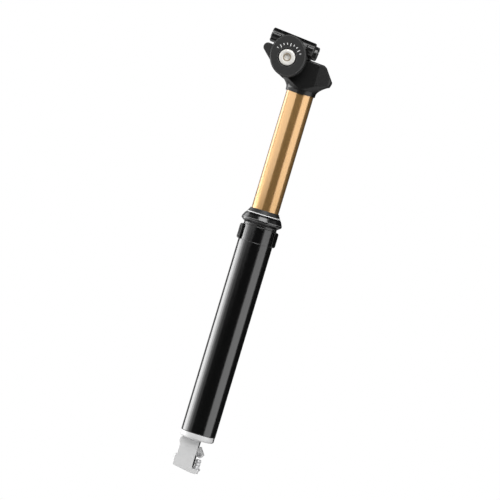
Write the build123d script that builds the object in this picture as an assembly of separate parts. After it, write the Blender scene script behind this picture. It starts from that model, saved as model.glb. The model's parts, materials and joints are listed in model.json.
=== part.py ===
from build123d import *
import math
import os

os.makedirs("parts", exist_ok=True)

# A dropper seatpost: a stanchion that slides in an outer tube, a sealed gas
# cartridge between them, a release lever at the foot and a rail clamp on top.
# Z runs up the post's axis and X points to the front of the bicycle, so the
# clamp's bolt lies along Y and the bicycle's right side is at minus Y. The
# origin is on the axis, at the lower end of the outer tube.
# Lengths are in millimetres and angles in degrees.

# Driving dimensions
post_diameter = 31.6
stanchion_inset = 3.3
travel = 100.0
gap_when_down = 9.3
rail_diameter = 7.0
rail_spacing = 44.0
rail_bar_length = 40.5
setback = 17.4
clamp_height = 26.0
rail_dip = 5.5

# Clearances and fits
running_gap = 0.06
rest_gap = 0.3
clamp_gap = 0.8
rail_clearance = 0.05
cut_overrun = 1.0

# Outer tube
tube_wall = 1.9
tube_end_bevel = 0.5
keyway_depth = 0.85
keyway_width = 4.1
keyway_start = 7.0
collar_thread_length = 12.0
collar_thread_step = 1.0
bushing_seat_step = 0.3
lug_height = 13.9
lug_rise = 2.1
lug_round = 1.8
lug_spread = 60.0
lug_inset = 0.7
lug_band_depth = 0.25

# Collar and wiper
collar_bore_gap = 0.4
collar_neck_height = 1.7
collar_neck_inset = 0.6
flange_flare_height = 2.2
flange_band = 2.0
flange_overhang = 2.8
flange_height = 5.2
flange_bevel = 0.5
flange_shoulder = 1.5
collar_lip_height = 2.6
collar_lip_inset = 3.05
collar_lip_band = 0.6
wiper_seat_depth = 2.6
wiper_wall = 2.0
wiper_brim = 0.6
wiper_lip_height = 3.6
wiper_lip_wall = 0.7
wiper_step_height = 2.0
wiper_groove = 0.5
o_ring_thickness = 1.2

# Bushings, keys and stops
upper_bushing_length = 24.0
lower_bushing_length = 12.0
bushing_slit = 1.2
lower_bushing_sink = 0.35
spacer_length = 14.1
spacer_wall = 1.1
spacer_play = 0.15
key_count = 3
key_turn = 90.0
key_length = 18.0
key_inset = 1.5
key_depth = 0.8
key_play = 0.05
key_bevel = 0.5
bumper_height = 2.7
bumper_wall = 2.9

# Stanchion and head
stanchion_wall = 2.0
stanchion_end_bevel = 0.4
socket_depth = 15.5
neck_wall = 1.2
rim_scallop = 1.0
head_side_wall = 1.5
head_height = 29.3
nose_reach = 24.5
nose_half_width = 8.5
boss_radius = 15.0
seat_radius = 10.0
seat_depth = 3.6
nut_room = 1.6
shaft_recess_radius = 6.5
head_top_dip = 3.5
head_edge_round = 1.5
head_corner_round = 5.0
nose_round = 2.6

# The head's outline from the side, as shares of its nose's reach and height
nose_top_share = 0.62
nose_point_height_share = 0.58
nose_under_share = 0.955
nose_under_height_share = 0.455
waist_share = 0.796
waist_height_share = 0.358
neck_flare_share = 0.07
neck_rise_share = 0.19
flare_end_share = 0.43
rear_flare_share = 0.33
rear_drop_share = 0.6
nose_shoulder_share = 0.42

# Rail clamp
inner_hub_radius = 14.5
inner_hub_depth = 6.7
inner_rim_depth = 1.6
outer_hub_radius = 14.0
outer_hub_depth = 4.7
disc_height = 37.3
disc_width = 32.1
disc_lean = 15.5
disc_rise = 1.65
disc_depth = 6.0
disc_bevel = 0.9
bar_wall = 2.9
bar_offset = 0.95
bar_height = 14.6
bar_bevel = 0.7
roof_reach = 2.5
lid_rise = 2.2
lid_gap = 0.5
arm_half_width = 12.0
tab_reach = 19.3
tab_rise = 2.2
tab_end_radius = 4.1
tab_step = 2.0
tab_root = 10.8
tab_root_drop = 4.5
clamp_opening = 6.5
thread_engagement = 6.3

# Clamp bolt and nut
bolt_radius = 4.0
bolt_shoulder_radius = 5.4
bolt_head_radius = 7.2
bolt_head_height = 3.6
bolt_head_round = 1.4
bolt_well_radius = 8.3
bolt_well_depth = 3.2
socket_width = 5.0
socket_recess = 2.6
socket_dish_radius = 4.3
socket_dish_depth = 0.7
washer_height = 1.2
bolt_tip_inset = 2.0
nut_slot_width = 2.4
nut_slot_depth = 1.4
bolt_bore_gap = 0.1

# Gas cartridge
cartridge_radius = 9.5
cartridge_wall = 0.9
inner_tube_radius = 6.0
inner_tube_wall = 1.0
shaft_radius = 4.0
shaft_collar_radius = 7.5
shaft_collar_height = 3.0
shaft_thread_length = 5.0
shaft_nut_width = 11.0
plug_height = 2.2
plug_gap = 0.1
cartridge_clearance = 25.0
cartridge_head_height = 10.0
cartridge_cap_height = 2.4
main_piston_length = 8.0
piston_inset = 3.0
floating_piston_length = 8.0
floating_piston_rise = 18.0
seal_width = 1.4
seal_depth = 0.9
foot_spigot_radius = 7.0
foot_spigot_depth = 2.0
foot_flange_height = 3.0
foot_plug_height = 11.0
foot_nose_height = 4.0
valve_stem_radius = 1.5
valve_neck_radius = 1.1
valve_head_radius = 3.0
valve_head_height = 2.4
valve_seat_radius = 2.4
valve_gallery_height = 6.0
valve_chamber_radius = 3.6
port_radius = 1.1
port_count = 4

# Release mechanism at the foot
ring_radius = 15.6
ring_height = 5.3
ring_bevel = 1.2
spigot_height = 6.0
block_rear = 12.1
block_front = 4.0
block_half_width = 8.0
block_depth = 29.6
heel_height = 12.1
heel_reach = 15.2
heel_lift = 3.1
heel_slope_end = 3.0
heel_round = 1.6
ear_height = 6.3
ear_reach = 1.9
ear_drop = 0.6
ear_shoulder_share = 0.24
ear_face_share = 0.70
slot_half_width = 4.2
slot_rear = 4.2
shelf_height = 3.8
shelf_front = 10.4
shelf_bevel = 2.4
spring_well_radius = 4.0
pivot_x = 3.4
pivot_drop = 11.0
pivot_pin_radius = 1.5
pivot_pin_inset = 2.0
pivot_boss_radius = 3.0
lever_play = 0.4
nose_radius = 1.5
cable_x = 7.4
cable_drop = 12.6
cable_boss_radius = 2.6
horn_x = 5.9
horn_drop = 6.4
tip_x = 9.9
tip_drop = 12.2
horn_round = 0.7
cable_wire_radius = 0.8
wire_guide_radius = 1.1
pinch_screw_radius = 1.6
pinch_offset = 0.6
pinch_socket_width = 1.6
stem_flange_radius = 3.3
stem_flange_height = 1.0
stem_flange_drop = 5.0
spring_wire_radius = 0.32
spring_mean_radius = 2.6
spring_turns = 3.5
barrel_radius = 2.7
barrel_height = 8.8
barrel_ridges = 3
barrel_ridge_depth = 0.5
barrel_shank_radius = 2.5
housing_bore_radius = 2.0
housing_bore_depth = 9.0

# Radii across the post
post_radius = post_diameter / 2
stanchion_radius = post_radius - stanchion_inset
head_half_width = stanchion_radius + head_side_wall
tube_bore_radius = post_radius - tube_wall
bushing_seat_radius = tube_bore_radius + bushing_seat_step
thread_radius = tube_bore_radius + collar_thread_step
stanchion_bore_radius = stanchion_radius - stanchion_wall
rail_groove_radius = rail_diameter / 2 + rail_clearance
rail_y = rail_spacing / 2

# Heights along the post, with the saddle fully up
bumper_top_z = spigot_height + bumper_height
stanchion_foot_z = bumper_top_z + rest_gap + travel
key_foot_z = stanchion_foot_z + key_inset
lower_bushing_z = key_foot_z + key_length + key_inset
spacer_z = lower_bushing_z + lower_bushing_length + rest_gap
upper_bushing_z = spacer_z + spacer_length
collar_thread_z = upper_bushing_z + upper_bushing_length
tube_length = collar_thread_z + collar_thread_length
lug_foot_z = tube_length - lug_inset - lug_height
flange_z = tube_length + collar_neck_height + flange_flare_height
collar_lip_z = flange_z + flange_height
collar_top_z = collar_lip_z + collar_lip_height
wiper_top_z = collar_top_z + wiper_lip_height
head_rim_z = wiper_top_z + travel + gap_when_down
socket_top_z = head_rim_z + socket_depth
clamp_z = head_rim_z + clamp_height
nose_top_z = head_rim_z + head_height
head_slope = math.tan(math.radians(head_top_dip))
head_top_z = nose_top_z + head_slope * (nose_reach * nose_top_share + setback)
plug_top_z = nose_top_z + head_slope * (nose_reach * nose_top_share - shaft_recess_radius)
plug_foot_z = plug_top_z - plug_height
shaft_nut_z = plug_foot_z - nut_room - shaft_thread_length
cartridge_top_z = socket_top_z - shaft_collar_height - travel - cartridge_clearance
foot_flange_z = spigot_height + foot_flange_height
foot_plug_z = foot_flange_z + foot_plug_height
floating_piston_z = foot_plug_z + floating_piston_rise
cartridge_head_z = cartridge_top_z - cartridge_head_height
main_piston_z = cartridge_head_z - piston_inset - main_piston_length
block_foot_z = -ring_height - block_depth
shelf_z = block_foot_z + shelf_height
pivot_z = -ring_height - pivot_drop
nose_z = pivot_z + pivot_boss_radius - nose_radius
cable_z = -ring_height - cable_drop
stem_foot_z = nose_z + nose_radius + rest_gap
stem_flange_z = -ring_height - stem_flange_drop
barrel_top_z = shelf_z + barrel_height

# Places across the clamp, measured outwards along the bolt
inner_face_y = head_half_width + rest_gap
inner_hub_y = inner_face_y + inner_hub_depth
outer_face_y = inner_hub_y + clamp_gap
outer_hub_y = outer_face_y + outer_hub_depth
disc_y = outer_hub_y + disc_depth
bolt_seat_y = disc_y - bolt_well_depth
bolt_tip_y = bolt_seat_y - bolt_tip_inset
sleeve_end_y = bolt_tip_y - 2 * clamp_opening - thread_engagement

LOW = (Align.CENTER, Align.CENTER, Align.MIN)


def disc(radius, low, high):
    """A solid round the post's axis, from one height to another."""
    return Pos(0, 0, low) * Cylinder(radius, high - low, align=LOW)


def ring(outer, inner, low, high):
    """A plain sleeve round the post's axis."""
    return disc(outer, low, high) - disc(inner, low, high)


def turned(outline):
    """A solid of revolution from an outline of radius and height pairs."""
    return revolve(make_face(Plane.XZ * Polyline(*outline, close=True)), Axis.Z)


def crosswise(radius, near, far, x=0, z=0):
    """A cylinder along Y, between two places on that axis."""
    return Pos(x, near, z) * Rot(-90, 0, 0) * Cylinder(radius, far - near, align=LOW)


def block(x0, x1, y0, y1, z0, z1):
    """A box between two corners."""
    return Pos((x0 + x1) / 2, (y0 + y1) / 2, (z0 + z1) / 2) * Box(x1 - x0, y1 - y0, z1 - z0)


def o_ring(radius, height):
    """A rubber ring whose section is centred on a radius and a height."""
    section = Plane.XZ * Pos(radius, height) * Circle(o_ring_thickness / 2)
    return revolve(section, Axis.Z)


def around(count, make):
    """The pieces that make returns for evenly spaced angles round the post."""
    return [make(index * 360 / count) for index in range(count)]


# Lower half: outer tube, collar, wiper and the fixed bushing
def make_outer_tube():
    bevel = tube_end_bevel
    body = turned([
        (tube_bore_radius, 0),
        (post_radius - bevel, 0),
        (post_radius, bevel),
        (post_radius, lug_foot_z),
        (post_radius - lug_band_depth, lug_foot_z),
        (post_radius - lug_band_depth, tube_length - bevel),
        (post_radius - lug_band_depth - bevel, tube_length),
        (thread_radius, tube_length),
        (thread_radius, collar_thread_z),
        (bushing_seat_radius, collar_thread_z),
        (bushing_seat_radius, upper_bushing_z),
        (tube_bore_radius, upper_bushing_z),
    ])
    for lug_turn in (0, 180):
        body += Rot(0, 0, lug_turn) * make_lug()
    keyway = block(tube_bore_radius - cut_overrun, tube_bore_radius + keyway_depth,
                   -keyway_width / 2, keyway_width / 2, keyway_start, upper_bushing_z)
    for slot in around(key_count, lambda turn: Rot(0, 0, turn + key_turn) * keyway):
        body -= slot
    return body


def make_lug():
    """One of the two raised stops at the top of the tube, front and rear."""
    top = lug_foot_z + lug_height
    foot = lug_foot_z
    root = (post_radius - lug_band_depth + thread_radius) / 2
    face = post_radius + lug_rise
    outline = make_face(Plane.XZ * Polyline(
        (root, foot),
        (face, foot),
        (face, top),
        (root, top),
        close=True))
    corners = outline.vertices().sort_by(Axis.X)[-2:]
    outline = fillet(corners, lug_round)
    return Rot(0, 0, -lug_spread / 2) * revolve(outline, Axis.Z, revolution_arc=lug_spread)


def make_collar():
    bore = stanchion_radius + collar_bore_gap
    neck = post_radius - collar_neck_inset
    flange = post_radius + flange_overhang
    seat = stanchion_radius + wiper_wall
    groove_z = collar_thread_z + collar_thread_length / 2
    groove = thread_radius - o_ring_thickness
    half = o_ring_thickness / 2
    return turned([
        (bore, collar_thread_z),
        (thread_radius, collar_thread_z),
        (thread_radius, groove_z - half),
        (groove, groove_z - half),
        (groove, groove_z + half),
        (thread_radius, groove_z + half),
        (thread_radius, tube_length),
        (neck, tube_length),
        (neck, tube_length + collar_neck_height),
        (flange - flange_bevel, flange_z),
        (flange, flange_z + flange_bevel),
        (flange, flange_z + flange_band),
        (flange - flange_shoulder, collar_lip_z),
        (flange - collar_lip_inset, collar_top_z - collar_lip_band),
        (flange - collar_lip_inset, collar_top_z),
        (seat, collar_top_z),
        (seat, collar_top_z - wiper_seat_depth),
        (bore, collar_top_z - wiper_seat_depth),
    ])


def make_dust_wiper():
    inner = stanchion_radius + running_gap
    seat = stanchion_radius + wiper_wall
    lip = inner + wiper_lip_wall
    brim = seat + wiper_brim
    step = (brim + lip) / 2
    foot = collar_top_z - wiper_seat_depth
    step_z = collar_top_z + wiper_step_height
    return turned([
        (inner, foot),
        (seat, foot),
        (seat, collar_top_z),
        (brim, collar_top_z),
        (brim, collar_top_z + wiper_groove),
        (step + wiper_groove, collar_top_z + wiper_groove),
        (step, step_z),
        (lip + wiper_groove, step_z),
        (lip, wiper_top_z),
        (inner, wiper_top_z),
        (inner, wiper_top_z - wiper_groove),
        (inner + wiper_groove, step_z),
        (inner, collar_top_z),
    ])


def split_ring(outer, inner, low, high):
    """A bushing with a slit, so that it springs into its seat."""
    slit = block(0, outer + cut_overrun, -bushing_slit / 2, bushing_slit / 2, low, high)
    return ring(outer, inner, low, high) - Rot(0, 0, key_turn + 180 / key_count) * slit


def make_spacer():
    outer = tube_bore_radius - spacer_play
    return ring(outer, outer - spacer_wall, spacer_z, upper_bushing_z)


def make_bumper():
    outer = tube_bore_radius - rest_gap
    return ring(outer, outer - bumper_wall, spigot_height, bumper_top_z)


# Upper half: stanchion, its keys and bushing, and the forged head
def key_solid(inner, outer, width, low, high):
    return block(inner, outer, -width / 2, width / 2, low, high)


def make_stanchion():
    bevel = stanchion_end_bevel
    groove = stanchion_radius - lower_bushing_sink
    bushing_top = lower_bushing_z + lower_bushing_length
    body = turned([
        (stanchion_bore_radius, stanchion_foot_z),
        (stanchion_radius - bevel, stanchion_foot_z),
        (stanchion_radius, stanchion_foot_z + bevel),
        (stanchion_radius, lower_bushing_z),
        (groove, lower_bushing_z),
        (groove, bushing_top),
        (stanchion_radius, bushing_top),
        (stanchion_radius, socket_top_z),
        (stanchion_bore_radius, socket_top_z),
    ])
    pocket = key_solid(stanchion_radius - key_depth, stanchion_radius + cut_overrun,
                       keyway_width, key_foot_z, key_foot_z + key_length)
    for cut in around(key_count, lambda turn: Rot(0, 0, turn + key_turn) * pocket):
        body -= cut
    return body


def make_guide_key(turn):
    outer = tube_bore_radius + keyway_depth - running_gap
    width = keyway_width - 2 * key_play
    key = key_solid(stanchion_radius - key_depth, outer, width,
                    key_foot_z, key_foot_z + key_length)
    ends = key.edges().filter_by(Axis.Y).group_by(Axis.X)[-1]
    return Rot(0, 0, turn + key_turn) * chamfer(ends, key_bevel)


def flare_curve():
    """The controls of the hollow curve under the nose, from the neck out to the nose."""
    start = (stanchion_radius + neck_wall, head_rim_z + head_height * neck_flare_share)
    rise = (start[0], head_rim_z + head_height * neck_rise_share)
    waist = (nose_reach * waist_share, head_rim_z + head_height * waist_height_share)
    end = (nose_reach, head_rim_z + head_height * flare_end_share)
    return start, rise, waist, end


def head_side_face():
    """The head from the side, wide enough below for the flared neck to trim it."""
    low = head_rim_z - rim_scallop
    start = flare_curve()[0]
    nose_top = (nose_reach * nose_top_share, nose_top_z)
    nose_point = (nose_reach, head_rim_z + head_height * nose_point_height_share)
    nose_under = (nose_reach * nose_under_share, head_rim_z + head_height * nose_under_height_share)
    undercut = (nose_point[0] - nose_under[0]) / (nose_point[1] - nose_under[1])
    nose_foot = (nose_point[0] - undercut * (nose_point[1] - low), low)
    rear_top = (-setback, head_top_z)
    rear_low = (-setback - boss_radius * rear_flare_share, clamp_z - boss_radius * rear_drop_share)
    rear_neck = -start[0] - cut_overrun
    face = make_face(Plane.XZ * Polyline(
        nose_foot,
        nose_point,
        nose_top,
        rear_top,
        rear_low,
        (rear_neck, start[1]),
        (rear_neck, low),
        close=True))
    return fillet(face.vertices().sort_by(Axis.X)[-1], nose_round)


def head_plan_face():
    half = head_half_width
    shoulder_x = nose_reach * nose_shoulder_share
    outline = Polyline(
        (-setback - boss_radius, -half),
        (shoulder_x, -half),
        (nose_reach + cut_overrun, -nose_half_width),
        (nose_reach + cut_overrun, nose_half_width),
        (shoulder_x, half),
        (-setback - boss_radius, half),
        close=True)
    face = make_face(outline)
    front = face.vertices().sort_by(Axis.X)[2:]
    return fillet(front, head_corner_round)


def head_flare_solid():
    """The round neck that opens upwards like a trumpet."""
    low = head_rim_z - rim_scallop
    start, rise, waist, end = flare_curve()
    high = head_top_z + cut_overrun
    wide = nose_reach + head_half_width
    lines = (
        Polyline((0, low), (start[0], low), start)
        + Bezier(start, rise, waist, end)
        + Polyline(end, (wide, end[1]), (wide, high), (0, high), (0, low))
    )
    return revolve(make_face(Plane.XZ * lines), Axis.Z)


def make_head():
    low = head_rim_z - rim_scallop
    width = 2 * (head_half_width + cut_overrun)
    side = extrude(head_side_face(), width / 2, both=True)
    side = side & (Pos(0, 0, low) * extrude(head_plan_face(), head_top_z + cut_overrun - low))
    brow = max(side.faces().filter_by(GeomType.PLANE), key=lambda face: face.normal_at().Z)
    side = fillet(brow.edges(), head_edge_round)
    side = side & head_flare_solid()
    body = side + crosswise(boss_radius, -head_half_width, head_half_width, -setback, clamp_z)
    body -= rim_arch()
    body -= disc(stanchion_radius, low - cut_overrun, socket_top_z)
    body -= disc(shaft_radius + running_gap, socket_top_z, shaft_nut_z)
    body -= disc(shaft_recess_radius, shaft_nut_z, head_top_z + cut_overrun)
    bore = bolt_shoulder_radius + rest_gap
    reach = head_half_width + cut_overrun
    body -= crosswise(bore, -reach, reach, -setback, clamp_z)
    seat = seat_radius + running_gap
    floor = head_half_width - seat_depth
    body -= crosswise(seat, -reach, -floor, -setback, clamp_z)
    body -= crosswise(seat, floor, reach, -setback, clamp_z)
    return body


def rim_arch():
    """The arch under the head's neck, higher at front and rear than at the sides."""
    chord = stanchion_radius + neck_wall
    radius = (chord ** 2 + rim_scallop ** 2) / (2 * rim_scallop)
    reach = nose_reach
    return Pos(-reach, 0, head_rim_z - radius) * Rot(0, 90, 0) * Cylinder(radius, 2 * reach, align=LOW)


def make_head_plug():
    return disc(shaft_recess_radius - plug_gap, plug_foot_z, plug_top_z)


# Gas cartridge
def make_cartridge_shaft():
    thread_top = shaft_nut_z + shaft_thread_length
    flange_z_low = socket_top_z - shaft_collar_height
    foot = main_piston_z + main_piston_length / 2
    return turned([
        (0, foot),
        (shaft_radius, foot),
        (shaft_radius, flange_z_low),
        (shaft_collar_radius, flange_z_low),
        (shaft_collar_radius, socket_top_z),
        (shaft_radius, socket_top_z),
        (shaft_radius, thread_top),
        (0, thread_top),
    ])


def make_shaft_nut():
    hexagon = RegularPolygon(shaft_nut_width / 2, 6, major_radius=False)
    nut = Pos(0, 0, shaft_nut_z) * extrude(hexagon, shaft_thread_length)
    return nut - disc(shaft_radius, shaft_nut_z, shaft_nut_z + shaft_thread_length)


def sealed_piston(outer, inner, low, high):
    """A piston ring with a seal groove half way up its outside."""
    middle = (low + high) / 2
    half = seal_width / 2
    groove = outer - seal_depth
    return turned([
        (inner, low),
        (outer, low),
        (outer, middle - half),
        (groove, middle - half),
        (groove, middle + half),
        (outer, middle + half),
        (outer, high),
        (inner, high),
    ])


def piston_seal(outer, low, high):
    middle = (low + high) / 2
    return ring(outer, outer - seal_depth, middle - seal_width / 2, middle + seal_width / 2)


def make_main_piston():
    outer = inner_tube_radius - inner_tube_wall - running_gap
    top = main_piston_z + main_piston_length
    body = sealed_piston(outer, 0, main_piston_z, top)
    return body - disc(shaft_radius, main_piston_z + main_piston_length / 2, top)


def make_cartridge_head():
    bore = cartridge_radius - cartridge_wall
    return turned([
        (shaft_radius + running_gap, cartridge_head_z),
        (inner_tube_radius - inner_tube_wall, cartridge_head_z),
        (inner_tube_radius - inner_tube_wall, cartridge_head_z + piston_inset),
        (bore, cartridge_head_z + piston_inset),
        (bore, cartridge_top_z),
        (cartridge_radius, cartridge_top_z),
        (cartridge_radius, cartridge_top_z + cartridge_cap_height),
        (shaft_radius + seal_width + seal_depth, cartridge_top_z + cartridge_cap_height),
        (shaft_radius + seal_width + seal_depth, cartridge_top_z),
        (shaft_radius + running_gap, cartridge_top_z),
    ])


def make_shaft_seal():
    inner = shaft_radius + running_gap
    outer = shaft_radius + seal_width + seal_depth
    top = cartridge_top_z + cartridge_cap_height
    return turned([
        (inner, cartridge_top_z),
        (outer, cartridge_top_z),
        (outer, top),
        (inner + seal_depth, top),
        (inner, top + seal_depth),
    ])


def make_cartridge_foot():
    plug = cartridge_radius - cartridge_wall
    nose = inner_tube_radius - inner_tube_wall
    gallery_z = foot_plug_z - valve_gallery_height
    stem_bore = valve_stem_radius + running_gap
    body = turned([
        (stem_bore, -foot_spigot_depth),
        (foot_spigot_radius, -foot_spigot_depth),
        (foot_spigot_radius, spigot_height),
        (cartridge_radius, spigot_height),
        (cartridge_radius, foot_flange_z),
        (plug, foot_flange_z),
        (plug, foot_plug_z),
        (nose, foot_plug_z),
        (nose, foot_plug_z + foot_nose_height),
        (valve_chamber_radius, foot_plug_z + foot_nose_height),
        (valve_chamber_radius, foot_plug_z),
        (valve_seat_radius, foot_plug_z),
        (valve_seat_radius, gallery_z),
        (stem_bore, gallery_z),
    ])
    port_place = (inner_tube_radius + plug) / 2
    middle_z = gallery_z + valve_gallery_height / 2
    upright = Pos(port_place, 0, middle_z) * Cylinder(port_radius, valve_gallery_height, align=LOW)
    across = Pos(0, 0, middle_z) * Rot(0, 90, 0) * Cylinder(port_radius, port_place, align=LOW)
    for port in around(port_count, lambda turn: Rot(0, 0, turn) * (upright + across)):
        body -= port
    return body


def make_valve_plunger():
    gallery_z = foot_plug_z - valve_gallery_height
    head_z = foot_plug_z + rest_gap
    flange_top = stem_flange_z + stem_flange_height
    return turned([
        (0, stem_foot_z),
        (valve_stem_radius, stem_foot_z),
        (valve_stem_radius, stem_flange_z),
        (stem_flange_radius, stem_flange_z),
        (stem_flange_radius, flange_top),
        (valve_stem_radius, flange_top),
        (valve_stem_radius, gallery_z),
        (valve_neck_radius, gallery_z),
        (valve_neck_radius, head_z),
        (valve_head_radius, head_z),
        (valve_head_radius, head_z + valve_head_height),
        (0, head_z + valve_head_height),
    ])


def make_valve_spring():
    low = stem_flange_z + stem_flange_height + spring_wire_radius
    high = -foot_spigot_depth - spring_wire_radius
    pitch = (high - low) / spring_turns
    path = Pos(0, 0, low) * Helix(pitch, high - low, spring_mean_radius)
    section = Plane(origin=path @ 0, z_dir=path % 0) * Circle(spring_wire_radius)
    print("least gap between the spring's turns", round(coil_gap(path), 2))
    return sweep(section, path=path, is_frenet=True)


def coil_gap(path):
    """The least free distance between two turns of the spring's wire."""
    per_turn = 36
    count = round(spring_turns * per_turn)
    points = [path @ (index / count) for index in range(count + 1)]
    apart = per_turn // 2
    least = min(
        (points[second] - points[first]).length
        for first in range(count + 1)
        for second in range(first + apart, count + 1))
    return least - 2 * spring_wire_radius


# Release mechanism
def make_actuator_housing():
    base = turned([
        (0, -ring_height),
        (ring_radius - ring_bevel, -ring_height),
        (ring_radius, -ring_height + ring_bevel),
        (ring_radius, 0),
        (tube_bore_radius, 0),
        (tube_bore_radius, spigot_height),
        (0, spigot_height),
    ])
    body = make_housing_block() + base
    body -= disc(foot_spigot_radius, -foot_spigot_depth, spigot_height + cut_overrun)
    body -= disc(spring_well_radius, -ring_height - cut_overrun, 0)
    slot_foot = shelf_z
    body -= block(-slot_rear, shelf_front + cut_overrun, -slot_half_width, slot_half_width,
                  slot_foot, -ring_height)
    body -= Pos(cable_x, 0, block_foot_z - cut_overrun) * Cylinder(
        barrel_shank_radius, shelf_height + 2 * cut_overrun, align=LOW)
    pin_near = -block_half_width + pivot_pin_inset
    body -= crosswise(pivot_pin_radius, pin_near, block_half_width + cut_overrun, pivot_x, pivot_z)
    return body


def make_housing_block():
    """The bracket under the ring: two cheeks, a heel at the rear and a shelf in front."""
    heel_top = block_foot_z + heel_height
    ear_top = -ring_height - ear_drop
    ear = -block_rear - ear_reach
    cheeks = make_face(Plane.XZ * Polyline(
        (-block_rear, -ring_height + cut_overrun),
        (-block_rear, ear_top),
        (ear, ear_top - ear_height * ear_shoulder_share),
        (ear, ear_top - ear_height * ear_face_share),
        (-block_rear, ear_top - ear_height),
        (-block_rear, heel_top),
        (-heel_reach, heel_top),
        (-heel_reach, block_foot_z + heel_lift),
        (heel_slope_end, block_foot_z),
        (shelf_front - shelf_bevel, block_foot_z),
        (shelf_front, block_foot_z + shelf_bevel),
        (shelf_front, shelf_z),
        (block_front, shelf_z),
        (block_front, -ring_height + cut_overrun),
        close=True))
    heel = [corner for corner in cheeks.vertices() if abs(corner.X + heel_reach) < heel_round]
    side = extrude(fillet(heel, heel_round), block_half_width, both=True)
    return side & disc(ring_radius, block_foot_z, 0)


def capsule(radius_a, a, radius_b, b, half_width):
    """Two rounded ends joined by their common tangents, as a flat bar across Y."""
    rounds = Pos(*a) * Circle(radius_a) + Pos(*b) * Circle(radius_b)
    face = make_hull(rounds.edges())
    return extrude(Plane.XZ * face, half_width, both=True)


def make_release_lever():
    half = slot_half_width - lever_play
    pivot = (pivot_x, pivot_z)
    nose = (0, nose_z)
    cable = (cable_x, cable_z)
    body = capsule(nose_radius, nose, pivot_boss_radius, pivot, half)
    body += capsule(pivot_boss_radius, pivot, cable_boss_radius, cable, half)
    horn = (horn_x, -ring_height - horn_drop)
    tip = (tip_x, -ring_height - tip_drop)
    body += capsule(horn_round, horn, pivot_boss_radius, pivot, half)
    body += capsule(horn_round, horn, horn_round, tip, half)
    body += capsule(horn_round, tip, cable_boss_radius, cable, half)
    wedge = make_face(Polyline(pivot, horn, tip, cable, close=True))
    body += extrude(Plane.XZ * wedge, half, both=True)
    body -= crosswise(pivot_pin_radius + running_gap, -slot_half_width, slot_half_width,
                      pivot_x, pivot_z)
    body -= crosswise(pinch_screw_radius, -slot_half_width, 0, cable_x - pinch_offset, cable_z)
    wire_hole = cable_boss_radius + cut_overrun
    body -= Pos(cable_x, 0, cable_z - wire_hole) * Cylinder(
        cable_wire_radius, wire_hole + tip_drop, align=LOW)
    return body


def make_pinch_screw():
    half = slot_half_width - lever_play
    near = -half
    screw_x = cable_x - pinch_offset
    screw = crosswise(pinch_screw_radius, near, -cable_wire_radius, screw_x, cable_z)
    hexagon = RegularPolygon(pinch_socket_width / 2, 6, major_radius=False)
    socket = Pos(screw_x, near - cut_overrun, cable_z) * Rot(-90, 0, 0) * extrude(
        hexagon, cut_overrun + half / 2)
    return screw - socket


def make_lever_pin():
    near = -block_half_width + pivot_pin_inset
    return crosswise(pivot_pin_radius, near, block_half_width, pivot_x, pivot_z)


def make_cable_stop():
    """The threaded barrel that the cable's housing butts into."""
    outline = [(wire_guide_radius, barrel_top_z), (barrel_radius - barrel_ridge_depth, barrel_top_z)]
    step = barrel_height / barrel_ridges
    for ridge in range(barrel_ridges):
        top = barrel_top_z - ridge * step
        outline.append((barrel_radius, top - step / 2))
        outline.append((barrel_radius - barrel_ridge_depth, top - step))
    mouth = block_foot_z
    outline += [
        (barrel_shank_radius, shelf_z),
        (barrel_shank_radius, mouth),
        (housing_bore_radius, mouth),
        (housing_bore_radius, mouth + housing_bore_depth),
        (wire_guide_radius, mouth + housing_bore_depth),
    ]
    return Pos(cable_x, 0, 0) * turned(outline)


# Rail clamp, built at the bolt's axis with level rails and then tipped
def placed(piece):
    return Pos(-setback, 0, clamp_z) * Rot(0, rail_dip, 0) * piece


def along_rail(radius, length):
    """A cylinder along the right-hand rail."""
    return Pos(-bar_offset - length / 2, -rail_y, bar_height) * Rot(0, 90, 0) * Cylinder(
        radius, length, align=LOW)


def rail_bar():
    """The round bar that holds the rail, before it is split in two."""
    bar = along_rail(rail_groove_radius + bar_wall, rail_bar_length)
    return chamfer(bar.edges().filter_by(GeomType.CIRCLE), bar_bevel)


def oval(grow=0):
    """The oval of the clamp's face, longer across the rail than along it."""
    lean = Pos(0, disc_rise) * Rot(0, 0, disc_lean)
    return lean * Ellipse(disc_width / 2 + grow, disc_height / 2 + grow)


def plate(near, far, grow=0):
    """A plate with the oval's outline, between two places along the bolt."""
    return Pos(0, far, 0) * extrude(Plane.XZ * oval(grow), far - near)


def clamp_bounds():
    """The lowest and highest places that a cut through the rail bar has to reach."""
    radius = rail_groove_radius + bar_wall + cut_overrun
    return bar_height - radius, bar_height + radius


def make_inner_clamp():
    low, high = clamp_bounds()
    inner = -inner_face_y
    body = rail_bar()
    body += crosswise(inner_hub_radius, -inner_hub_y, inner)
    body += plate(-inner_hub_y, -inner_hub_y + inner_rim_depth)
    body += crosswise(seat_radius, inner, inner + seat_depth)
    reach = rail_bar_length
    outside = -disc_y - cut_overrun
    lid_edge = -rail_y + roof_reach + clamp_gap
    body -= block(-reach, reach, outside, lid_edge, bar_height + lid_rise - lid_gap, high)
    arm = arm_half_width + clamp_gap
    body -= block(-arm, arm, outside, -inner_hub_y, low, high)
    body -= plate(outside, -outer_hub_y + lid_gap, lid_gap)
    body -= along_rail(rail_groove_radius, rail_bar_length + 2 * cut_overrun)
    bore = bolt_shoulder_radius + bolt_bore_gap
    body -= crosswise(bore, -inner_hub_y - cut_overrun, inner + seat_depth + cut_overrun)
    return body


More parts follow.
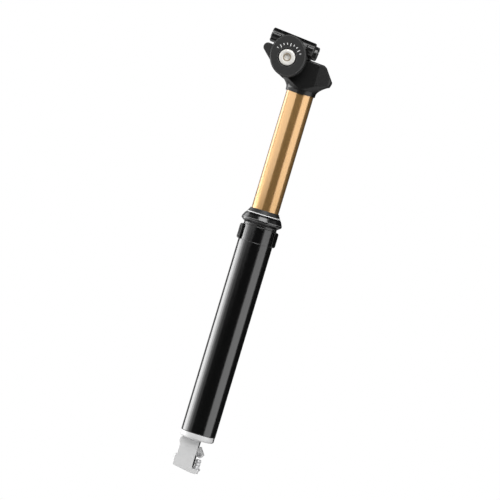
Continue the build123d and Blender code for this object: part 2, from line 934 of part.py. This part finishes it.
def make_outer_clamp():
    low, high = clamp_bounds()
    outer = -disc_y
    reach = rail_bar_length
    lid = block(-reach, reach, outer, -rail_y + roof_reach, bar_height + lid_rise, high)
    arm = block(-arm_half_width, arm_half_width, outer, -outer_face_y, low, high)
    body = rail_bar() & (lid + arm)
    body += crosswise(outer_hub_radius, -outer_hub_y, -outer_face_y)
    face = plate(outer, -outer_hub_y)
    rim = face.faces().sort_by(Axis.Y)[0].edges()
    body += chamfer(rim, disc_bevel)
    body += make_tab()
    body -= along_rail(rail_groove_radius, rail_bar_length + 2 * cut_overrun)
    body -= crosswise(bolt_well_radius, outer - cut_overrun, -bolt_seat_y)
    body -= crosswise(bolt_shoulder_radius + bolt_bore_gap, outer, -outer_face_y + cut_overrun)
    return body


def make_tab():
    """The finger at the rear of the outer clamp."""
    rounds = Pos(-tab_reach, tab_rise) * Circle(tab_end_radius)
    rounds += Pos(0, -tab_root_drop) * Circle(tab_root)
    face = make_hull(rounds.edges())
    return Pos(0, -outer_hub_y, 0) * extrude(Plane.XZ * face, disc_depth - tab_step)


def make_bolt_washer():
    top = -bolt_seat_y
    body = crosswise(bolt_head_radius, top - washer_height, top)
    return body - crosswise(bolt_shoulder_radius + bolt_bore_gap, top - washer_height, top)


def round_head(radius, near, far):
    """A bolt or nut head with a rounded outer edge."""
    head = crosswise(radius, near, far)
    rim = head.edges().filter_by(GeomType.CIRCLE).sort_by(Axis.Y)[0]
    return fillet(rim, bolt_head_round)


def make_clamp_bolt():
    seat = -bolt_seat_y - washer_height
    top = seat - bolt_head_height
    body = round_head(bolt_head_radius, top, seat)
    body += crosswise(bolt_shoulder_radius, seat, -sleeve_end_y)
    body += crosswise(bolt_radius, -sleeve_end_y, bolt_tip_y)
    body -= crosswise(socket_dish_radius, top, top + socket_dish_depth)
    hexagon = RegularPolygon(socket_width / 2, 6, major_radius=False)
    socket = Pos(0, top, 0) * Rot(-90, 0, 0) * extrude(hexagon, socket_recess)
    return body - socket


def make_clamp_nut():
    seat = bolt_seat_y + washer_height
    top = seat + bolt_head_height
    flat = mirror(round_head(bolt_head_radius, -top, -seat), about=Plane.XZ)
    body = flat + crosswise(bolt_shoulder_radius, sleeve_end_y, seat)
    body -= crosswise(bolt_radius + running_gap, sleeve_end_y, seat)
    slot = block(-bolt_head_radius, bolt_head_radius, top - nut_slot_depth, top + cut_overrun,
                 -nut_slot_width / 2, nut_slot_width / 2)
    return body - slot


def make_pieces():
    """Every piece of the seatpost by name."""
    pieces = {
        "outer_tube": make_outer_tube(),
        "collar": make_collar(),
        "collar_o_ring": o_ring(thread_radius - o_ring_thickness / 2,
                                collar_thread_z + collar_thread_length / 2),
        "dust_wiper": make_dust_wiper(),
        "upper_bushing": split_ring(bushing_seat_radius, stanchion_radius + running_gap,
                                    upper_bushing_z, collar_thread_z),
        "top_out_spacer": make_spacer(),
        "bottom_out_bumper": make_bumper(),
        "stanchion": make_stanchion(),
        "lower_bushing": split_ring(tube_bore_radius - running_gap,
                                    stanchion_radius - lower_bushing_sink, lower_bushing_z,
                                    lower_bushing_z + lower_bushing_length),
        "head": make_head(),
        "head_plug": make_head_plug(),
    }
    for index, key in enumerate(around(key_count, make_guide_key)):
        pieces[f"guide_key_{index + 1}"] = key
    pieces.update(make_cartridge())
    pieces.update(make_actuator())
    pieces.update(make_rail_clamp())
    return pieces


def make_cartridge():
    inner = cartridge_radius - cartridge_wall
    bore = inner_tube_radius - inner_tube_wall
    float_top = floating_piston_z + floating_piston_length
    piston_top = main_piston_z + main_piston_length
    return {
        "cartridge_outer_tube": ring(cartridge_radius, inner, foot_flange_z, cartridge_top_z),
        "cartridge_inner_tube": ring(inner_tube_radius, bore, foot_plug_z,
                                     cartridge_head_z + piston_inset),
        "cartridge_head": make_cartridge_head(),
        "shaft_seal": make_shaft_seal(),
        "cartridge_foot": make_cartridge_foot(),
        "floating_piston": sealed_piston(inner - running_gap, inner_tube_radius + running_gap,
                                         floating_piston_z, float_top),
        "floating_piston_seal": piston_seal(inner - running_gap, floating_piston_z, float_top),
        "main_piston": make_main_piston(),
        "main_piston_seal": piston_seal(bore - running_gap, main_piston_z, piston_top),
        "cartridge_shaft": make_cartridge_shaft(),
        "shaft_nut": make_shaft_nut(),
        "valve_plunger": make_valve_plunger(),
        "valve_spring": make_valve_spring(),
    }


def make_actuator():
    return {
        "actuator_housing": make_actuator_housing(),
        "release_lever": make_release_lever(),
        "lever_pin": make_lever_pin(),
        "cable_pinch_screw": make_pinch_screw(),
        "cable_stop_barrel": make_cable_stop(),
    }


def make_rail_clamp():
    inner = make_inner_clamp()
    outer = make_outer_clamp()
    washer = make_bolt_washer()
    return {
        "inner_clamp_right": placed(inner),
        "inner_clamp_left": placed(mirror(inner, about=Plane.XZ)),
        "outer_clamp_right": placed(outer),
        "outer_clamp_left": placed(mirror(outer, about=Plane.XZ)),
        "bolt_washer": placed(washer),
        "nut_washer": placed(mirror(washer, about=Plane.XZ)),
        "clamp_bolt": placed(make_clamp_bolt()),
        "clamp_nut": placed(make_clamp_nut()),
    }


for name, piece in make_pieces().items():
    export_step(piece, f"parts/{name}.step")
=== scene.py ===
import bpy
import json
import math
from mathutils import Matrix, Vector


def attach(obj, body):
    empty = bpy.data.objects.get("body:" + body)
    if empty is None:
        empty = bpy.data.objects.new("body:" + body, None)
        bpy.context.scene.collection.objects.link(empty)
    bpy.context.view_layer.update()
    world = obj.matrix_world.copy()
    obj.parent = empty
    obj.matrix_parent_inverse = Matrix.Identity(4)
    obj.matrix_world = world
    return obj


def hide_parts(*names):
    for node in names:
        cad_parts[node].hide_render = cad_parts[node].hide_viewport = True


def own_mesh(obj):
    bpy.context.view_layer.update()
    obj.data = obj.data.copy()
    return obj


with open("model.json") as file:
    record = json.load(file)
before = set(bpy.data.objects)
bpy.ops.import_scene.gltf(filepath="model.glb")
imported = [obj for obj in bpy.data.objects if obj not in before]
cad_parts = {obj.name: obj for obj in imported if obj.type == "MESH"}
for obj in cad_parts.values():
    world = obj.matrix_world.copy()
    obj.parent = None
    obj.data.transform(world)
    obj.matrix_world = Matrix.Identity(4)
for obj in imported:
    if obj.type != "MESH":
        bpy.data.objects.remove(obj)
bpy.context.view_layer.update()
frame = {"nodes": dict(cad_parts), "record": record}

# Clamp: the bolt's axis, the outer faces, the marks on them and the painted shade ring in the
# bolt's dish
CLAMP_SETBACK = 0.0174
CLAMP_HEIGHT = 0.343
CLAMP_DISC = 0.0284
MARKED_FACE = 0.0322
MARK_HALF_WIDTH = 0.00034
MARK_OUTER_END = 0.0128
SHORT_MARKS = {"step": 15, "inner_end": 0.0112}
LONG_MARKS = {"step": 45, "inner_end": 0.0101}
MARK_SWEEP = (22.0, 155.0)
BOLT_FACE = -0.030
BOLT_SHADE_RING = (0.0026, 0.0036)

# Collar: the rim at its top and the line below the flange, painted as highlights
COLLAR_RIM_HIGHLIGHT = 0.20335
COLLAR_LINE_HIGHLIGHT = (0.19795, 0.19855)

# Release: the slot in the housing, its open front and the hole in the lever, all with painted
# shade
SLOT_HALF_WIDTH = 0.0043
SLOT_FLOOR = -0.0309
SLOT_BACK = 0.0015
FRONT_HALF_WIDTH = 0.0085
FRONT_HEIGHTS = (-0.0290, -0.0185)
FRONT_BACK = 0.0039
LEVER_HOLE = (0.0068, -0.0179)
LEVER_SHADE_RADIUS = 0.00195

# The valve's coil spring, wound at its free length
SPRING_MEAN_RADIUS = 0.0026
SPRING_WIRE_RADIUS = 0.00032
SPRING_TURNS = 3.5
SPRING_STEPS_A_TURN = 32
SPRING_WIRE_SIDES = 12
SPRING_SEAT = -0.0020
SPRING_FREE_LENGTH = 0.0073
SPRING_END_GAP = 0.00002
SMOOTH_BELOW = 50

# Camera, from the photograph's viewing angle
AZIMUTH = math.radians(5)
ROLL = math.radians(16.7048)
CAMERA_DISTANCE = 2.5
CAMERA_HEIGHT = 0.215
AIM_SIDEWAYS = -0.0027268
AIM_HEIGHT = 0.1704136
FOCAL_PIXELS = 2800.360
PICTURE_PIXELS = 500
SENSOR_WIDTH = 36
CLIP_START = 0.01

# Studio: the low panels give the tube its bands, the high ones the stanchion's
LIT_HEIGHT = 0.17
LOW = {"distance": 1.1, "height": -0.02, "tall": 0.44}
HIGH = {"distance": 1.1, "height": 0.57, "tall": 0.74}
WORLD_GLOW = 0.02

# Floor: how white the camera sees it near the post, and where it fades to full white
FLOOR_SIZE = 20
FLOOR_HEIGHT = -0.45
NEAR_FLOOR_WHITE = 0.97
FLOOR_FADE = (0.8, 2.5)

# The Mix node's sockets for colours, which share their names with its other sockets
FIRST_COLOUR, SECOND_COLOUR, MIXED_COLOUR = 6, 7, 2


class Value:
    """A number socket that takes part in Python sums."""

    def __init__(self, tree, socket):
        self.tree = tree
        self.socket = socket

    def maths(self, operation, *terms):
        node = self.tree.nodes.new("ShaderNodeMath")
        node.operation = operation
        for place, term in enumerate(terms):
            if isinstance(term, Value):
                self.tree.links.new(term.socket, node.inputs[place])
            else:
                node.inputs[place].default_value = term
        return Value(self.tree, node.outputs[0])

    def __add__(self, other): return self.maths("ADD", self, other)
    def __radd__(self, other): return self.maths("ADD", other, self)
    def __sub__(self, other): return self.maths("SUBTRACT", self, other)
    def __rsub__(self, other): return self.maths("SUBTRACT", other, self)
    def __mul__(self, other): return self.maths("MULTIPLY", self, other)
    def __rmul__(self, other): return self.maths("MULTIPLY", other, self)
    def __truediv__(self, other): return self.maths("DIVIDE", self, other)
    def __rtruediv__(self, other): return self.maths("DIVIDE", other, self)
    def __gt__(self, other): return self.maths("GREATER_THAN", self, other)
    def __lt__(self, other): return self.maths("LESS_THAN", self, other)
    def __abs__(self): return self.maths("ABSOLUTE", self)
    def root(self): return self.maths("SQRT", self)
    def fraction(self): return self.maths("FRACT", self)
    def larger(self, other): return self.maths("MAXIMUM", self, other)
    def between(self, low, high): return (self > low) * (self < high)


class Finish:
    """A surface finish, built on a principled shader."""

    def __init__(self, name):
        self.material = bpy.data.materials.new(name)
        self.material.use_nodes = True
        self.tree = self.material.node_tree
        self.tree.nodes.clear()
        self.output = self.tree.nodes.new("ShaderNodeOutputMaterial")
        self.shader = self.tree.nodes.new("ShaderNodeBsdfPrincipled")
        self.tree.links.new(self.shader.outputs["BSDF"], self.output.inputs["Surface"])
        self.place = self.node("ShaderNodeTexCoord").outputs["Object"]

    def node(self, kind, settings=None, **sockets):
        made = self.tree.nodes.new(kind)
        for key, value in (settings or {}).items():
            setattr(made, key, value)
        for key, value in sockets.items():
            self.give(made.inputs[key.replace("_", " ")], value)
        return made

    def give(self, socket, value):
        if isinstance(value, Value):
            self.tree.links.new(value.socket, socket)
        elif isinstance(value, bpy.types.NodeSocket):
            self.tree.links.new(value, socket)
        else:
            socket.default_value = value

    def axes(self):
        """The piece's own x, y and z as numbers."""
        split = self.node("ShaderNodeSeparateXYZ", Vector=self.place)
        return [Value(self.tree, split.outputs[place]) for place in range(3)]

    def noise(self, scale, detail=3.0, stretch=(1, 1, 1)):
        """Noise in the piece's own place, with scale in cycles per metre."""
        mapped = self.node("ShaderNodeMapping", Vector=self.place, Scale=stretch)
        made = self.node("ShaderNodeTexNoise", Vector=mapped.outputs["Vector"],
                         Scale=scale, Detail=detail)
        return Value(self.tree, made.outputs["Fac"])

    def ramp(self, value, low, high, from_low=0.0, from_high=1.0):
        """Stretch a value's span from from_low to from_high over low to high."""
        made = self.node("ShaderNodeMapRange", {"clamp": True}, Value=value)
        self.give(made.inputs["From Min"], from_low)
        self.give(made.inputs["From Max"], from_high)
        self.give(made.inputs["To Min"], low)
        self.give(made.inputs["To Max"], high)
        return Value(self.tree, made.outputs["Result"])

    def blend(self, share, first, second):
        """The first colour where share is nought, and the second where it is one."""
        made = self.node("ShaderNodeMix", {"data_type": "RGBA"})
        self.give(made.inputs["Factor"], share)
        self.give(made.inputs[FIRST_COLOUR], first)
        self.give(made.inputs[SECOND_COLOUR], second)
        return made.outputs[MIXED_COLOUR]

    def bump(self, height, depth, round_edge=0.0):
        """Surface relief, with the edges rounded by eye where round_edge is given."""
        made = self.node("ShaderNodeBump", Height=height, Distance=depth)
        if round_edge:
            rounded = self.node("ShaderNodeBevel", {"samples": 6}, Radius=round_edge)
            self.give(made.inputs["Normal"], rounded.outputs["Normal"])
        self.give(self.shader.inputs["Normal"], made.outputs["Normal"])

    def edges(self, reach):
        """A mask that is one along convex edges and nought on open faces."""
        geometry = self.node("ShaderNodeNewGeometry")
        bevel = self.node("ShaderNodeBevel", {"samples": 4}, Radius=reach)
        lean = self.node("ShaderNodeVectorMath", {"operation": "DOT_PRODUCT"})
        self.give(lean.inputs[0], bevel.outputs["Normal"])
        self.give(lean.inputs[1], geometry.outputs["Normal"])
        return self.ramp(Value(self.tree, lean.outputs["Value"]), 1.0, 0.0,
                         from_low=0.90, from_high=0.995)

    def set(self, **sockets):
        for key, value in sockets.items():
            self.give(self.shader.inputs[key.replace("_", " ")], value)


def grey(level):
    return (level, level, level, 1)


def darker(colour, share):
    return tuple(part * share for part in colour[:3]) + (1,)


def off_axis(first, second):
    """How far a place is from an axis, from its two distances square to it."""
    return (first * first + second * second).root()


# Finishes
def black_anodised(name, rough, grain, round_edge, gloss):
    """A black coat without its colour, where gloss is its index of refraction."""
    finish = Finish(name)
    fine = finish.noise(grain, detail=2)
    finish.set(Roughness=finish.ramp(fine, rough * 0.9, rough * 1.12), Metallic=0.0, IOR=gloss)
    finish.bump(fine, depth=0.000006, round_edge=round_edge)
    return finish


def clouded_black(name, level, rough, grain, round_edge, gloss):
    finish = black_anodised(name, rough, grain, round_edge, gloss)
    cloud = finish.noise(60, detail=4)
    finish.set(Base_Color=finish.blend(cloud, grey(level * 0.85), grey(level * 1.2)))
    return finish


def highlighted_collar():
    rim_highlight_level, line_highlight_level, edge_highlight_level = 0.9, 0.12, 0.2
    finish = black_anodised("satin_black_collar", rough=0.20, grain=3500,
                            round_edge=0.0005, gloss=1.8)
    height = finish.axes()[2]
    # Painted highlights: the top rim, the line below the flange and the edges are painted pale
    # on the black collar
    painted_rim = (height > COLLAR_RIM_HIGHLIGHT) * rim_highlight_level
    flange_line_highlight = height.between(*COLLAR_LINE_HIGHLIGHT) * line_highlight_level
    painted_highlights = painted_rim.larger(flange_line_highlight).larger(finish.edges(reach=0.0006) * edge_highlight_level)
    finish.set(Base_Color=finish.blend(painted_highlights, grey(0.004), grey(1.0)))
    return finish


def gold_anodised():
    finish = Finish("polished_gold_anodised")
    rings = finish.noise(900, detail=2, stretch=(0.04, 0.04, 6.0))
    cloud = finish.noise(35)
    deep, light = (0.75, 0.415, 0.135, 1), (0.79, 0.445, 0.150, 1)
    finish.set(Base_Color=finish.blend(cloud, deep, light), Metallic=0.78,
               Roughness=finish.ramp(rings, 0.20, 0.26),
               Coat_Weight=1.0, Coat_Roughness=0.14, Coat_IOR=2.0)
    finish.bump(rings, depth=0.000002)
    return finish


def edge_lit_clamp():
    edge_light_share = 0.4
    finish = black_anodised("satin_black_clamp", rough=0.22, grain=3000,
                            round_edge=0.0006, gloss=1.7)
    # Painted highlight: the clamp's edges are painted pale grey, standing for light caught on
    # the bevels
    painted_edge_light = finish.edges(reach=0.0004) * edge_light_share
    finish.set(Base_Color=finish.blend(painted_edge_light, grey(0.006), grey(0.32)))
    return finish


def angle_marks(finish):
    """Plain lines round the clamp's outer faces, every third one longer."""
    x, y, z = finish.axes()
    along, up = x + CLAMP_SETBACK, z - CLAMP_HEIGHT
    out = off_axis(along, up)
    turn = up.maths("ARCTAN2", up, along) * (180 / math.pi)

    def lines(step, inner_end):
        off = abs((turn / step + 0.5).fraction() - 0.5) * step
        return (off * out * (math.pi / 180) < MARK_HALF_WIDTH) * (out > inner_end)

    marks = lines(**SHORT_MARKS).larger(lines(**LONG_MARKS)) * (out < MARK_OUTER_END)
    return marks * turn.between(*MARK_SWEEP) * (abs(y) > MARKED_FACE)


def blasted_clamp_face():
    edge_light_share = 0.7
    finish = Finish("bead_blasted_black")
    fine = finish.noise(3800, detail=2)
    cloud = finish.noise(90)
    across = finish.axes()[1]
    disc = abs(across) > CLAMP_DISC
    # Painted highlight: the face's edges are painted pale grey, standing for light caught on
    # the bevels
    painted_edge_light = finish.edges(reach=0.0007) * edge_light_share
    blasted = finish.blend(cloud, grey(0.009), grey(0.013))
    marked = finish.blend(angle_marks(finish), blasted, grey(0.80))
    plain = finish.blend(disc, grey(0.006), marked)
    finish.set(Base_Color=finish.blend(painted_edge_light, plain, grey(0.22)), Metallic=0.0,
               Roughness=finish.ramp(fine, 0.92, 1.10) * finish.ramp(disc, 0.22, 0.50))
    finish.bump(fine, depth=0.000010, round_edge=0.0005)
    return finish


def polished_bolt():
    finish = Finish("polished_bolt")
    turned = finish.noise(500, detail=2, stretch=(8, 0.3, 8))
    x, y, z = finish.axes()
    out = off_axis(x + CLAMP_SETBACK, z - CLAMP_HEIGHT)
    # Painted shade: a brown-grey ring in the bolt head's dish stands for the shade in the
    # recess
    dish_shade = out.between(*BOLT_SHADE_RING) * (y < BOLT_FACE)
    deep, light = (0.86, 0.84, 0.79, 1), (0.93, 0.91, 0.87, 1)
    shaded = (0.34, 0.27, 0.19, 1)
    finish.set(Base_Color=finish.blend(dish_shade, finish.blend(turned, deep, light), shaded),
               Metallic=0.25, Roughness=finish.ramp(turned, 0.24, 0.36))
    finish.bump(turned, depth=0.000003, round_edge=0.0003)
    return finish


def slot_shade(finish):
    """Painted shade inside the slot of the release's housing and on its open front."""
    x, y, z = finish.axes()
    inside = (abs(y) < SLOT_HALF_WIDTH) * (z > SLOT_FLOOR) * (x > SLOT_BACK)
    front = (abs(y) < FRONT_HALF_WIDTH) * z.between(*FRONT_HEIGHTS) * (x > FRONT_BACK)
    return inside.larger(front)


def silver_casting():
    finish = Finish("satin_silver_casting")
    fine = finish.noise(2200)
    cloud = finish.noise(120)
    plain = finish.blend(cloud, grey(0.82), grey(0.88))
    # Painted shade: the slot and the housing's open front are painted near black
    finish.set(Base_Color=finish.blend(slot_shade(finish), plain, grey(0.012)),
               Metallic=0.15, Roughness=finish.ramp(fine, 0.40, 0.52))
    finish.bump(fine, depth=0.000012, round_edge=0.0006)
    return finish


def silver_lever():
    finish = Finish("satin_silver_lever")
    fine = finish.noise(2600)
    x, y, z = finish.axes()
    # Painted shade: the lever in and round its hole is painted near black
    painted_rim = off_axis(x - LEVER_HOLE[0], z - LEVER_HOLE[1]) < LEVER_SHADE_RADIUS
    plain = finish.blend(fine, grey(0.70), grey(0.80))
    finish.set(Base_Color=finish.blend(painted_rim, plain, grey(0.05)),
               Metallic=0.15, Roughness=finish.ramp(fine, 0.28, 0.40))
    finish.bump(fine, depth=0.000010, round_edge=0.0004)
    return finish


def moulded_rubber(slot, level, rough):
    finish = Finish("moulded_" + slot)
    fine = finish.noise(3000, detail=4)
    finish.set(Base_Color=finish.blend(fine, grey(level * 0.8), grey(level * 1.2)),
               Roughness=finish.ramp(fine, rough * 0.9, rough * 1.1))
    finish.bump(fine, depth=0.00002)
    return finish


def moulded_plastic(slot, colour, rough):
    finish = Finish("moulded_" + slot)
    fine = finish.noise(1800)
    finish.set(Base_Color=finish.blend(fine, darker(colour, 0.85), colour),
               Roughness=finish.ramp(fine, rough * 0.9, rough * 1.1))
    finish.bump(fine, depth=0.00001)
    return finish


def machined_metal(slot, colour, rough, stretch, metallic=1.0):
    finish = Finish("machined_" + slot)
    marks = finish.noise(600, stretch=stretch)
    finish.set(Base_Color=finish.blend(marks, darker(colour, 0.88), colour),
               Metallic=metallic, Roughness=finish.ramp(marks, rough * 0.85, rough * 1.2))
    finish.bump(marks, depth=0.000004)
    return finish


# How the tool marks are stretched along x, y and z
LATHE_TURNED = (0.1, 0.1, 8)
CROSS_TURNED = (6, 0.3, 6)
DRAWN = (1, 1, 8)
COILED = (4, 4, 4)

finishes = {
    "tube_black": clouded_black("gloss_black_tube", level=0.0010, rough=0.17, grain=4000,
                                round_edge=0.0004, gloss=2.0),
    "head_black": clouded_black("satin_black_forging", level=0.004, rough=0.27, grain=2500,
                                round_edge=0.0011, gloss=1.55),
    "collar_black": highlighted_collar(),
    "stanchion_gold": gold_anodised(),
    "clamp_black": edge_lit_clamp(),
    "clamp_face_black": blasted_clamp_face(),
    "bolt_silver": polished_bolt(),
    "actuator_silver": silver_casting(),
    "lever_silver": silver_lever(),
}
for slot, *look in (("wiper_rubber", 0.008, 0.42),
                    ("seal_rubber", 0.03, 0.6)):
    finishes[slot] = moulded_rubber(slot, *look)
for slot, *look in (("bushing_plastic", (0.05, 0.05, 0.055, 1), 0.5),
                    ("spacer_plastic", (0.60, 0.60, 0.56, 1), 0.5),
                    ("plug_black", (0.022, 0.022, 0.022, 1), 0.45)):
    finishes[slot] = moulded_plastic(slot, *look)
for slot, *look in (("key_brass", (0.72, 0.50, 0.20, 1), 0.30, DRAWN),
                    ("cartridge_alloy", (0.66, 0.66, 0.68, 1), 0.28, LATHE_TURNED),
                    ("piston_alloy", (0.60, 0.60, 0.62, 1), 0.30, LATHE_TURNED),
                    ("shaft_steel", (0.72, 0.72, 0.74, 1), 0.12, LATHE_TURNED),
                    ("valve_steel", (0.60, 0.60, 0.62, 1), 0.25, LATHE_TURNED),
                    ("spring_steel", (0.45, 0.45, 0.47, 1), 0.30, COILED),
                    ("pin_steel", (0.62, 0.62, 0.63, 1), 0.28, CROSS_TURNED, 0.4),
                    ("screw_steel", (0.74, 0.74, 0.75, 1), 0.35, CROSS_TURNED, 0.3),
                    ("barrel_steel", (0.76, 0.76, 0.77, 1), 0.32, DRAWN, 0.3),
                    ("washer_steel", (0.030, 0.030, 0.030, 1), 0.40, CROSS_TURNED, 0.6)):
    finishes[slot] = machined_metal(slot, *look)

for part in frame["record"]["subparts"]:
    piece = frame["nodes"][part["node"]]
    for place in piece.material_slots:
        place.material = finishes[part["material_slot"]].material


# Valve spring
wire_ends = SPRING_WIRE_RADIUS + SPRING_END_GAP
bpy.ops.object.select_all(action="DESELECT")
bpy.ops.mesh.primitive_circle_add(
    vertices=SPRING_WIRE_SIDES, radius=SPRING_WIRE_RADIUS, rotation=(math.pi / 2, 0, 0),
    location=(SPRING_MEAN_RADIUS, 0, SPRING_SEAT - SPRING_FREE_LENGTH + wire_ends))
coil = bpy.context.object
coil.name = "valve_spring_coil"
bpy.ops.object.transform_apply(location=True, rotation=True, scale=True)
wound = coil.modifiers.new("wound", "SCREW")
wound.angle = SPRING_TURNS * 2 * math.pi
wound.screw_offset = SPRING_FREE_LENGTH - 2 * wire_ends
wound.steps = wound.render_steps = round(SPRING_TURNS * SPRING_STEPS_A_TURN)
bpy.ops.object.modifier_apply(modifier=wound.name)
bpy.ops.object.mode_set(mode="EDIT")
bpy.ops.mesh.select_all(action="SELECT")
bpy.ops.mesh.fill_holes(sides=0)
bpy.ops.mesh.select_all(action="SELECT")
bpy.ops.mesh.normals_make_consistent(inside=False)
bpy.ops.object.mode_set(mode="OBJECT")
bpy.ops.object.shade_smooth_by_angle(angle=math.radians(SMOOTH_BELOW))
coil.data.materials.append(finishes["spring_steel"].material)
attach(coil, "outer_post")
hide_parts("valve_spring")
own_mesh(coil)


# Camera
to_camera = Vector((math.sin(AZIMUTH), -math.cos(AZIMUTH), 0))
sideways = Vector((math.cos(AZIMUTH), math.sin(AZIMUTH), 0))
stand = to_camera * CAMERA_DISTANCE + Vector((0, 0, CAMERA_HEIGHT))
target = sideways * AIM_SIDEWAYS + Vector((0, 0, AIM_HEIGHT))
ahead = (target - stand).normalized()
across = ahead.cross(Vector((0, 0, 1))).normalized()
upright = across.cross(ahead)
right = across * math.cos(ROLL) + upright * math.sin(ROLL)
up = upright * math.cos(ROLL) - across * math.sin(ROLL)
turn = Matrix((right, up, -ahead)).transposed().to_4x4()
lens = bpy.data.cameras.new("camera")
lens.lens = FOCAL_PIXELS / PICTURE_PIXELS * SENSOR_WIDTH
lens.sensor_width = SENSOR_WIDTH
lens.clip_start = CLIP_START
camera = bpy.data.objects.new("camera", lens)
camera.matrix_world = Matrix.Translation(stand) @ turn
bpy.context.scene.collection.objects.link(camera)
bpy.context.scene.camera = camera


# Studio
def panel(name, bearings, distance, height, tall, glow):
    """A soft light that fills two bearings, counted from the camera's own side."""
    first, last = (math.radians(bearing) for bearing in bearings)
    turned = AZIMUTH + (first + last) / 2
    lamp = bpy.data.lights.new(name, "AREA")
    lamp.shape = "RECTANGLE"
    lamp.size = 2 * distance * math.tan(abs(last - first) / 2)
    lamp.size_y = tall
    lamp.energy = glow * math.pi * lamp.size * lamp.size_y
    outward = Vector((math.sin(turned), -math.cos(turned), 0))
    where = outward * distance + Vector((0, 0, height))
    aim = (Vector((0, 0, LIT_HEIGHT)) - where).to_track_quat("-Z", "Y")
    light = bpy.data.objects.new(name, lamp)
    light.matrix_world = Matrix.Translation(where) @ aim.to_matrix().to_4x4()
    bpy.context.scene.collection.objects.link(light)


panel("left_rear_panel", (-174, -146), distance=1.1, height=0.17, tall=1.6, glow=0.4)
panel("left_low_panel", (-128, -98), glow=5.6, **LOW)
panel("left_low_inner_panel", (-98, -82), glow=3.5, **LOW)
panel("left_low_middle_panel", (-82, -68), glow=1.2, **LOW)
panel("left_low_front_panel", (-68, -50), glow=0.35, **LOW)
panel("left_high_edge_panel", (-138, -108), glow=2.2, **HIGH)
panel("left_high_panel", (-104, -24), glow=1.25, **HIGH)
panel("right_low_panel", (38, 90), glow=1.25, **LOW)
panel("right_high_panel", (32, 94), glow=1.3, **HIGH)
panel("top_panel", (-22, 32), distance=0.85, height=1.05, tall=0.9, glow=4.4)


def seen_by_camera(tree):
    """One for what the camera itself sees, and nought for reflections and for light."""
    path = tree.nodes.new("ShaderNodeLightPath")
    return Value(tree, path.outputs["Is Camera Ray"])


world = bpy.data.worlds.new("studio")
world.use_nodes = True
bpy.context.scene.world = world
tree = world.node_tree
back = tree.nodes["Background"]
back.inputs["Color"].default_value = (1, 1, 1, 1)
white = seen_by_camera(tree) * (1 - WORLD_GLOW) + WORLD_GLOW
tree.links.new(white.socket, back.inputs["Strength"])

bpy.ops.object.select_all(action="DESELECT")
bpy.ops.mesh.primitive_plane_add(size=FLOOR_SIZE, location=(0, 0, FLOOR_HEIGHT))
floor = bpy.context.object
floor.name = "floor"
paper = Finish("white_paper")
fine = paper.noise(300)
paper.set(Base_Color=paper.blend(fine, grey(0.80), grey(0.84)), Roughness=0.9)
glow = paper.node("ShaderNodeEmission", Color=(1, 1, 1, 1), Strength=1.0)
mixed = paper.node("ShaderNodeMixShader")
x, y, z = paper.axes()
whiter = paper.ramp(off_axis(x, y), NEAR_FLOOR_WHITE, 1.0, *FLOOR_FADE)
for place, source in enumerate((seen_by_camera(paper.tree) * whiter,
                                paper.shader.outputs["BSDF"], glow.outputs["Emission"])):
    paper.give(mixed.inputs[place], source)
paper.give(paper.output.inputs["Surface"], mixed.outputs["Shader"])
floor.data.materials.append(paper.material)

bpy.context.scene.view_settings.view_transform = "Standard"
